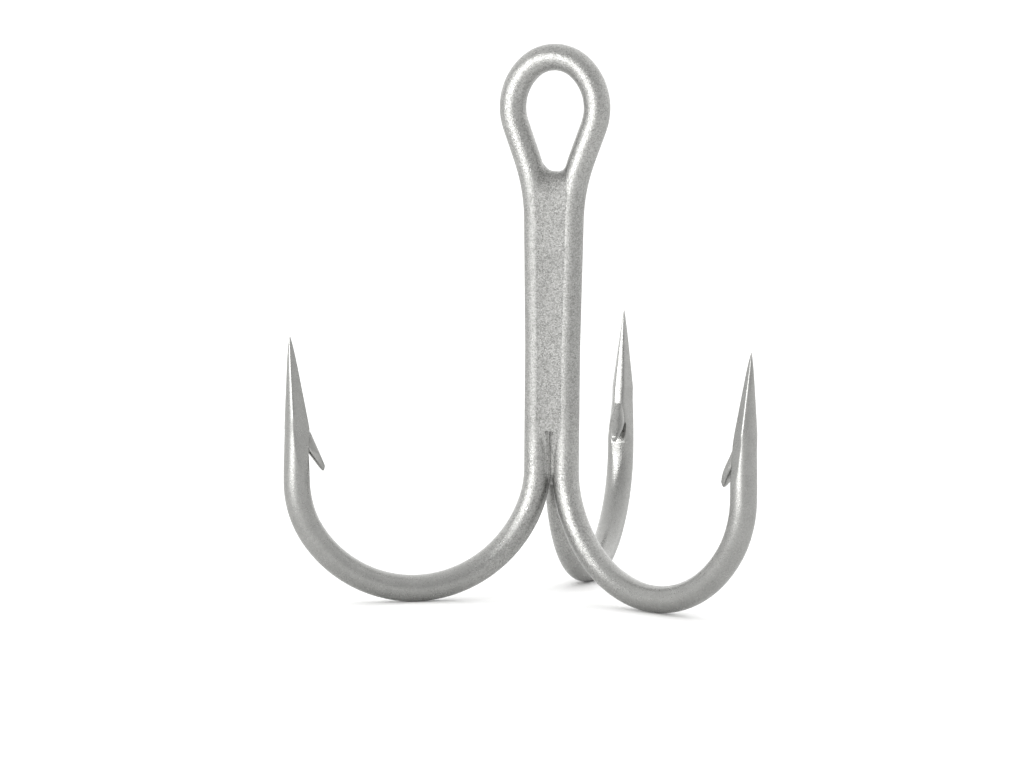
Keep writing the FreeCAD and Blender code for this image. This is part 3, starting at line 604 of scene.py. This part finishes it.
# A rear seam. Its rows stand closer at both ends.
REAR_ROWS = 60
REAR_START = 0.35 * MM             # depth at its foot
REAR_GROWN = (-0.1 * MM, 0.5 * MM)     # from its foot, where it fills
REAR_FADING = (-1.6 * MM, 0.3 * MM)    # from its top, where it thins out
REAR_TOP = 0.25                    # share of its depth that is left at the top
REAR_BACK = 0.2 * MM
REAR_LIFT = 0.5 * MM               # rise of its top along the wires


def rear_seam_stations(side, wire):
    """A rear seam, between a twin shank and the third."""
    foot, top = REAR_LOW.z, REAR_HIGH.z
    stations = []
    for i in range(REAR_ROWS + 1):
        level = foot + (top - foot) * (0.5 - 0.5 * math.cos(math.pi * i / REAR_ROWS))
        twin = Vector((side * twin_axis(level, wire), 0, 0))
        third = Vector((0, THIRD_AXIS_Y, 0))
        ends = (twin, third) if side > 0 else (third, twin)
        grown = smooth_step(foot + REAR_GROWN[0], foot + REAR_GROWN[1], level)
        fading = 1 - smooth_step(top + REAR_FADING[0], top + REAR_FADING[1], level)
        contact = REAR_START + (FLUSH - REAR_START) * grown
        stations.append(dict(
            ends=ends, level=level, contact=contact * (REAR_TOP + (1 - REAR_TOP) * fading),
            back=REAR_BACK, back_share=BACK_SHARE, lift=REAR_LIFT * (1 - fading)))
    return stations


# --- finishing a piece ---

def put_in_order(mesh):
    """Sorts edges and faces row by row, because extruding leaves them in another order each run."""
    mesh.verts.index_update()
    for elements in (mesh.edges, mesh.faces):
        rows = sorted(elements, key=lambda part: sorted((-v.index for v in part.verts)), reverse=True)
        for rank, element in enumerate(rows):
            element.index = rank
        elements.sort()
        elements.index_update()


def make_object(name, mesh, smooth_limit=CREASE):
    """A named object from a bmesh, smooth but for edges sharper than the limit."""
    bmesh.ops.remove_doubles(mesh, verts=mesh.verts, dist=MERGE)
    put_in_order(mesh)
    bmesh.ops.recalc_face_normals(mesh, faces=mesh.faces)
    for face in mesh.faces:
        face.smooth = True
    for edge in mesh.edges:
        if edge.is_manifold and edge.calc_face_angle() > math.radians(smooth_limit):
            edge.smooth = False
    data = bpy.data.meshes.new(name)
    mesh.to_mesh(data)
    mesh.free()
    piece = bpy.data.objects.new(name, data)
    bpy.context.scene.collection.objects.link(piece)
    return piece


def combine(piece, tool, operation):
    """Cuts or joins a tool's solid into a piece, and takes the tool away."""
    modifier = piece.modifiers.new("combine", "BOOLEAN")
    modifier.operation = operation
    modifier.solver = "EXACT"
    modifier.object = tool
    graph = bpy.context.evaluated_depsgraph_get()
    made = bpy.data.meshes.new_from_object(piece.evaluated_get(graph))
    piece.modifiers.clear()
    mesh = bmesh.new()
    mesh.from_mesh(made)
    bpy.data.meshes.remove(made)
    bmesh.ops.dissolve_degenerate(mesh, edges=mesh.edges, dist=SEAM_MERGE)
    for edge in mesh.edges:
        edge.smooth = not (edge.is_manifold
                           and edge.calc_face_angle() > math.radians(CREASE))
    for face in mesh.faces:
        face.smooth = True
    mesh.to_mesh(piece.data)
    mesh.free()
    bpy.data.objects.remove(tool)


def settle(piece, node, material):
    """Dresses a piece, hangs it on the body that carries it, and hides the node that it stands for."""
    piece.data.materials.clear()
    piece.data.materials.append(material)
    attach(piece, "root")
    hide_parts(node)


# --- materials ---

def add_node(tree, kind, settings=None, links=None):
    """Adds a node; a setting or a link is named by its socket or property, or by its number."""
    node = tree.nodes.new(kind)
    for name, value in (settings or {}).items():
        if isinstance(name, int) or name in node.inputs:
            node.inputs[name].default_value = value
        else:
            setattr(node, name, value)
    for name, source in (links or {}).items():
        tree.links.new(source, node.inputs[name])
    return node


def zone(tree, edges):
    """One inside all the edges, each given as (value's socket, where it is 0, where it is 1)."""
    inside = None
    for value, low, high in edges:
        edge = add_node(
            tree, "ShaderNodeMapRange", {"From Min": low, "From Max": high}, {"Value": value})
        if inside:
            edge = add_node(
                tree, "ShaderNodeMath", {"operation": "MULTIPLY"}, {0: inside, 1: edge.outputs[0]})
        inside = edge.outputs[0]
    return inside


def plating_zones(tree, where):
    """Where the plating differs: it is coarser on the shanks, rougher where alloy has flashed
    over the wires, and finer on the points, which were ground."""
    level = add_node(tree, "ShaderNodeSeparateXYZ", links={"Vector": where}).outputs["Z"]
    flat = add_node(
        tree, "ShaderNodeVectorMath", {"operation": "MULTIPLY", 1: (1.0, 1.0, 0.0)}, {0: where})
    reach = add_node(
        tree, "ShaderNodeVectorMath", {"operation": "LENGTH"},
        {0: flat.outputs["Vector"]}).outputs["Value"]
    shank = zone(tree, [(reach, 9 * MM, 5 * MM)])
    flashed = zone(tree, [(reach, 7 * MM, 5 * MM),
                          (level, REAR_LOW.z - 1.5 * MM, REAR_LOW.z + 1.0 * MM),
                          (level, SEAM_HIGH.z + 0.5 * MM, SEAM_HIGH.z - 2.5 * MM)])
    ground = zone(tree, [(reach, 13 * MM, 15 * MM),
                         (level, LOWEST + 10 * MM, LOWEST + 13 * MM)])
    return shank, flashed, ground


# How the plating's grains differ from one another.
CRYSTAL_TONE, TONE_BASE = 0.45, 0.1    # tone that a crystal adds, and all have
MIDDLE_TONE = 0.5
CALM_CONTRAST = 0.3                # contrast off the shanks, against 1 on them
SMOOTHER, ROUGHER = 0.1, 0.08      # how far a crystal's roughness goes either way
CALM_RELIEF, GROUND_RELIEF = 0.5, 0.38     # share of the relief off the shanks, and lost on points
CRYSTAL_HEIGHT = 0.5


def plated_metal(name, bright, dull, finish, relief, roughness):
    """Matt tin, barrel plated over metal: dense small grains that each catch the light their own
    way, so the sheen is satin and breaks into sparkle at its edges. The real grains are a few
    hundredths of a millimetre wide, too fine to show, so they are drawn about 0.1 mm wide."""
    material = bpy.data.materials.get(name)
    if material:
        return material
    material = bpy.data.materials.new(name)
    material.use_nodes = True
    tree = material.node_tree
    tree.nodes.clear()
    where = add_node(tree, "ShaderNodeTexCoord").outputs["Object"]
    shank, flashed, ground = plating_zones(tree, where)
    grain = add_node(
        tree, "ShaderNodeTexNoise",
        {"Scale": 1 / finish.grain, "Detail": 3.0, "Roughness": 0.62}, {"Vector": where})
    crystal = add_node(
        tree, "ShaderNodeTexVoronoi", {"Scale": 1 / finish.grain, "Randomness": 1.0},
        {"Vector": where})
    cloud = add_node(
        tree, "ShaderNodeTexNoise",
        {"Scale": 1 / finish.cloud, "Detail": 4.0, "Roughness": 0.55}, {"Vector": where})
    glint = add_node(tree, "ShaderNodeSeparateColor", links={"Color": crystal.outputs["Color"]})
    spread = add_node(
        tree, "ShaderNodeMath", {"operation": "MULTIPLY_ADD", 1: CRYSTAL_TONE, 2: TONE_BASE},
        {0: glint.outputs["Red"]})
    mottle = add_node(
        tree, "ShaderNodeMath", {"operation": "ADD"},
        {0: spread.outputs[0], 1: grain.outputs["Fac"]})
    shade = add_node(
        tree, "ShaderNodeMapRange", {"From Min": 0.45, "From Max": 1.0}, {"Value": mottle.outputs[0]})
    contrast = add_node(
        tree, "ShaderNodeMath",
        {"operation": "MULTIPLY_ADD", 1: 1 - CALM_CONTRAST, 2: CALM_CONTRAST}, {0: shank})
    grained = add_node(
        tree, "ShaderNodeMix", {"data_type": "FLOAT", 2: MIDDLE_TONE},
        {0: contrast.outputs[0], 3: shade.outputs[0]})
    tone = add_node(
        tree, "ShaderNodeMix", {"data_type": "RGBA", 6: dull, 7: bright}, {0: grained.outputs[0]})
    clouding = add_node(
        tree, "ShaderNodeMapRange", {"From Min": 0.3, "From Max": 0.7, "To Min": 0.94, "To Max": 1.04},
        {"Value": cloud.outputs["Fac"]})
    colour = add_node(
        tree, "ShaderNodeVectorMath", {"operation": "SCALE"},
        {0: tone.outputs[2], "Scale": clouding.outputs[0]})
    polish = add_node(
        tree, "ShaderNodeMapRange",
        {"To Min": roughness - SMOOTHER, "To Max": roughness + ROUGHER},
        {"Value": glint.outputs["Green"]})
    rough = add_node(
        tree, "ShaderNodeMath", {"operation": "MULTIPLY_ADD", 1: finish.flash_roughness},
        {0: flashed, 2: polish.outputs[0]})
    coarse = add_node(
        tree, "ShaderNodeMath",
        {"operation": "MULTIPLY_ADD", 1: (1 - CALM_RELIEF) * relief, 2: CALM_RELIEF * relief},
        {0: shank})
    depth = add_node(
        tree, "ShaderNodeMath", {"operation": "MULTIPLY_ADD", 1: -GROUND_RELIEF * relief},
        {0: ground, 2: coarse.outputs[0]})
    height = add_node(
        tree, "ShaderNodeMath", {"operation": "MULTIPLY_ADD", 1: CRYSTAL_HEIGHT},
        {0: crystal.outputs["Distance"], 2: grain.outputs["Fac"]})
    bump = add_node(
        tree, "ShaderNodeBump", {"Strength": 1.0},
        {"Height": height.outputs[0], "Distance": depth.outputs[0]})
    shader = add_node(
        tree, "ShaderNodeBsdfPrincipled", {"Metallic": 1.0},
        {"Base Color": colour.outputs[0], "Roughness": rough.outputs[0],
         "Normal": bump.outputs["Normal"]})
    add_node(tree, "ShaderNodeOutputMaterial", links={"Surface": shader.outputs[0]})
    return material


def wire_plating(finish):
    """On drawn steel wire: smooth and bright grey, with a soft broad highlight."""
    return plated_metal("barrel_plated_tin", finish.plating, finish.plating_dull, finish,
                        relief=0.028 * MM, roughness=0.36)


def braze_plating(finish):
    """On alloy that flowed and froze: a coarser grain, a little darker and duller."""
    return plated_metal("tinned_braze", finish.braze, finish.braze_dull, finish,
                        relief=0.05 * MM, roughness=0.4)


TOOTH_WIDTH = MM / 0.9     # the real tooth is finer; as drawn it just shows


def studio_floor(finish):
    """Matt white vinyl, calendered: even, with only a trace of tone and tooth."""
    material = bpy.data.materials.new("matt_vinyl")
    material.use_nodes = True
    tree = material.node_tree
    tree.nodes.clear()
    where = add_node(tree, "ShaderNodeTexCoord").outputs["Object"]
    tooth = add_node(
        tree, "ShaderNodeTexNoise", {"Scale": 1 / TOOTH_WIDTH, "Detail": 2.0}, {"Vector": where})
    tone = add_node(
        tree, "ShaderNodeMix", {"data_type": "RGBA", 6: finish.floor, 7: finish.floor_tooth},
        {0: tooth.outputs["Fac"]})
    shader = add_node(
        tree, "ShaderNodeBsdfPrincipled", {"Roughness": 0.9, "IOR": 1.45},
        {"Base Color": tone.outputs[2]})
    add_node(tree, "ShaderNodeOutputMaterial", links={"Surface": shader.outputs[0]})
    return material


# --- operators ---

def mirror_half(mesh):
    """Adds the left half to the right one."""
    geometry = mesh.verts[:] + mesh.edges[:] + mesh.faces[:]
    bmesh.ops.mirror(
        mesh, geom=geometry, matrix=Matrix.Identity(4), merge_dist=SEAM_MERGE, axis="X")


class TwinWire(bpy.types.Operator):
    """Bend the eye, the twin shanks and their two hooks from one wire"""
    bl_idname = "treble_hook.twin_wire"
    bl_label = "Twin Wire"

    def execute(self, context):
        scene = context.scene
        wire, point, barb = scene.hook_wire, scene.hook_point, scene.hook_barb
        leg, neck, slope = close_eye(wire)
        mesh = bmesh.new()
        run = Wire(mesh, Vector((0, 0, CROWN_RADIUS)), ACROSS_EYE, wire)
        run.bend(CROWN_RADIUS, wire.crown_turn, THROUGH_EYE)
        run.bend(wire.cheek_radius, math.pi / 2 + wire.throat_angle - wire.crown_turn, THROUGH_EYE)
        run.run(leg)
        run.bend(neck, wire.throat_angle - wire.shank_taper, -THROUGH_EYE)
        run.run(slope)
        run.bend(wire.blend_radius, wire.shank_taper, -THROUGH_EYE)
        bend_hook(run, RIGHT_WAY, wire)
        foot = draw_point(run, RIGHT_WAY, point)
        mirror_half(mesh)
        piece = make_object("twin_wire", mesh)
        ramps = bmesh.new()
        add_ramp_cutter(ramps, foot, RIGHT_WAY, wire, point, barb)
        mirror_half(ramps)
        combine(piece, make_object("ramps", ramps), "DIFFERENCE")
        tongues = bmesh.new()
        add_barb_tongue(tongues, foot, RIGHT_WAY, point, barb)
        mirror_half(tongues)
        combine(piece, make_object("tongues", tongues), "UNION")
        settle(piece, "twin_hook_wire", wire_plating(scene.hook_finish))
        return {"FINISHED"}


class ThirdWire(bpy.types.Operator):
    """Bend the third shank and its hook, with a cut end under the eye"""
    bl_idname = "treble_hook.third_wire"
    bl_label = "Third Wire"

    def execute(self, context):
        scene = context.scene
        wire, point, barb = scene.hook_wire, scene.hook_point, scene.hook_barb
        mesh = bmesh.new()
        run = Wire(mesh, Vector((0, THIRD_AXIS_Y, THIRD_HIGH.z)), -UP, wire)
        rim = list(run.edges)
        end = mesh.faces.new(sorted_ring(run.ring))
        bend_hook(run, THROUGH_EYE, wire)
        foot = draw_point(run, THROUGH_EYE, point)
        bmesh.ops.bevel(mesh, geom=rim + end.verts[:], offset=wire.end_round, segments=4,
                        profile=0.5, affect="EDGES", material=-1, clamp_overlap=False)
        piece = make_object("third_wire", mesh)
        ramp = bmesh.new()
        add_ramp_cutter(ramp, foot, THROUGH_EYE, wire, point, barb)
        combine(piece, make_object("ramp", ramp), "DIFFERENCE")
        tongue = bmesh.new()
        add_barb_tongue(tongue, foot, THROUGH_EYE, point, barb)
        combine(piece, make_object("tongue", tongue), "UNION")
        settle(piece, "third_hook_wire", wire_plating(scene.hook_finish))
        return {"FINISHED"}


class BrazeSeams(bpy.types.Operator):
    """Fill the three grooves between the shanks with alloy"""
    bl_idname = "treble_hook.braze_seams"
    bl_label = "Braze Seams"

    def execute(self, context):
        scene = context.scene
        wire, braze = scene.hook_wire, scene.hook_braze
        material = braze_plating(scene.hook_finish)
        runs = {
            "front": front_seam_stations(wire, braze),
            "left_rear": rear_seam_stations(-1, wire),
            "right_rear": rear_seam_stations(1, wire),
        }
        for name, stations in runs.items():
            mesh = bmesh.new()
            add_seam(mesh, stations)
            piece = make_object(name + "_seam", mesh, smooth_limit=SEAM_CREASE)
            settle(piece, name + "_braze_seam", material)
        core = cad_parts["core_braze"]
        core.data.materials.clear()
        core.data.materials.append(material)
        return {"FINISHED"}


# --- stage ---

KEY_WAY = (-27, 6)                 # azimuth and elevation of the key lamp, in degrees
KEY_DISTANCE, KEY_SIDE = 0.5, 0.3
KEY_POWER = 2.5                    # watts
TENT_OPENING = (8, 0)              # where the tent is open, as for the key
TENT_BACK, TENT_FRONT = 1.9, 0.74  # its strength behind the hook, and at the opening
SENSOR_WIDTH = 36                  # millimetres, as the camera has it
CLIP = (0.01, 50)                  # metres from the camera that it sees


def from_front(azimuth, elevation):
    """Unit vector towards a place round the hook, in degrees from the front and the horizon."""
    a, e = math.radians(azimuth), math.radians(elevation)
    return Vector((math.sin(a) * math.cos(e), -math.cos(a) * math.cos(e), math.sin(e)))


class Studio(bpy.types.Operator):
    """Lay the floor, pitch the light tent, hang the key lamp and stand the camera"""
    bl_idname = "treble_hook.studio"
    bl_label = "Studio"

    def execute(self, context):
        scene = context.scene
        stage = scene.hook_stage
        self.lay_floor(scene, stage)
        self.pitch_tent(scene, stage)
        self.hang_key(scene, stage)
        self.stand_camera(scene, stage)
        return {"FINISHED"}

    def lay_floor(self, scene, stage):
        mesh = bmesh.new()
        bmesh.ops.create_grid(mesh, x_segments=1, y_segments=1, size=stage.floor_size / 2,
                              matrix=Matrix.Translation((0, 0, FLOOR)))
        data = bpy.data.meshes.new("studio_floor")
        mesh.to_mesh(data)
        mesh.free()
        floor = bpy.data.objects.new("studio_floor", data)
        scene.collection.objects.link(floor)
        floor.data.materials.append(studio_floor(scene.hook_finish))

    def hang_key(self, scene, stage):
        """A square soft box, left of the camera and a little over the hook's middle."""
        light = bpy.data.lights.new("key", "AREA")
        light.shape = "RECTANGLE"
        light.size, light.size_y = KEY_SIDE, KEY_SIDE
        light.energy = KEY_POWER * stage.key
        lamp = bpy.data.objects.new("key", light)
        way = from_front(*KEY_WAY)
        middle = SHANK_CENTRE + UP * (TWIN_HIGH.z + TWIN_LOW.z) / 2
        lamp.location = middle + way * KEY_DISTANCE
        lamp.rotation_euler = way.to_track_quat("Z", "Y").to_euler()
        scene.collection.objects.link(lamp)

    def pitch_tent(self, scene, stage):
        """A white light tent all round, dimmer towards its open side at the front."""
        world = bpy.data.worlds.new("light_tent")
        world.use_nodes = True
        scene.world = world
        tree = world.node_tree
        tree.nodes.clear()
        way = add_node(tree, "ShaderNodeTexCoord").outputs["Generated"]
        towards = add_node(
            tree, "ShaderNodeVectorMath",
            {"operation": "DOT_PRODUCT", 1: from_front(*TENT_OPENING)}, {0: way})
        strength = add_node(
            tree, "ShaderNodeMapRange",
            {"From Min": -1.0, "From Max": 1.0, "To Min": TENT_BACK * stage.fill,
             "To Max": TENT_FRONT * stage.fill}, {"Value": towards.outputs["Value"]})
        background = add_node(
            tree, "ShaderNodeBackground", {"Color": linear_colour("#ffffff")},
            {"Strength": strength.outputs[0]})
        add_node(tree, "ShaderNodeOutputWorld", links={"Surface": background.outputs[0]})

    def stand_camera(self, scene, stage):
        """Stands the camera off a point on the shank, moved aside and up to place the hook in its
        view, and turned upright but for its roll."""
        a, e, roll = stage.azimuth, stage.elevation, stage.roll
        forward = Vector((-math.sin(a) * math.cos(e), math.cos(a) * math.cos(e), -math.sin(e)))
        level = Vector((math.cos(a), math.sin(a), 0))
        above = level.cross(forward)
        right = level * math.cos(roll) + above * math.sin(roll)
        up = above * math.cos(roll) - level * math.sin(roll)
        aim = SHANK_CENTRE - UP * stage.aim_drop
        place = aim - forward * stage.distance - right * stage.shift_right - up * stage.shift_up
        data = bpy.data.cameras.new("camera")
        data.sensor_width = SENSOR_WIDTH
        data.lens = stage.lens
        data.clip_start, data.clip_end = CLIP
        camera = bpy.data.objects.new("camera", data)
        camera.matrix_world = Matrix.Translation(place) @ Matrix(
            (right, up, -forward)).transposed().to_4x4()
        scene.collection.objects.link(camera)
        scene.camera = camera
        scene.view_settings.view_transform = "Standard"


class TrebleHookPanel(bpy.types.Panel):
    """Makes the hook piece by piece"""
    bl_idname = "VIEW3D_PT_treble_hook"
    bl_label = "Treble Hook"
    bl_space_type = "VIEW_3D"
    bl_region_type = "UI"
    bl_category = "Treble Hook"

    def draw(self, context):
        column = self.layout.column()
        for operator in OPERATORS:
            column.operator(operator.bl_idname)
        for name in PROPERTIES:
            box = self.layout.box()
            settings = getattr(context.scene, name)
            for key in settings.__annotations__:
                box.prop(settings, key)


PROPERTIES = {
    "hook_wire": WireSizes,
    "hook_point": PointSizes,
    "hook_barb": BarbSizes,
    "hook_braze": BrazeSizes,
    "hook_finish": Finish,
    "hook_stage": Stage,
}
OPERATORS = (TwinWire, ThirdWire, BrazeSeams, Studio)
CLASSES = (*PROPERTIES.values(), *OPERATORS, TrebleHookPanel)


def register():
    for cls in CLASSES:
        bpy.utils.register_class(cls)
    for name, cls in PROPERTIES.items():
        setattr(bpy.types.Scene, name, bpy.props.PointerProperty(type=cls))


def unregister():
    for name in PROPERTIES:
        delattr(bpy.types.Scene, name)
    for cls in reversed(CLASSES):
        bpy.utils.unregister_class(cls)


def main():
    register()
    bpy.ops.treble_hook.twin_wire()
    bpy.ops.treble_hook.third_wire()
    bpy.ops.treble_hook.braze_seams()
    bpy.ops.treble_hook.studio()


if __name__ == "__main__":
    main()
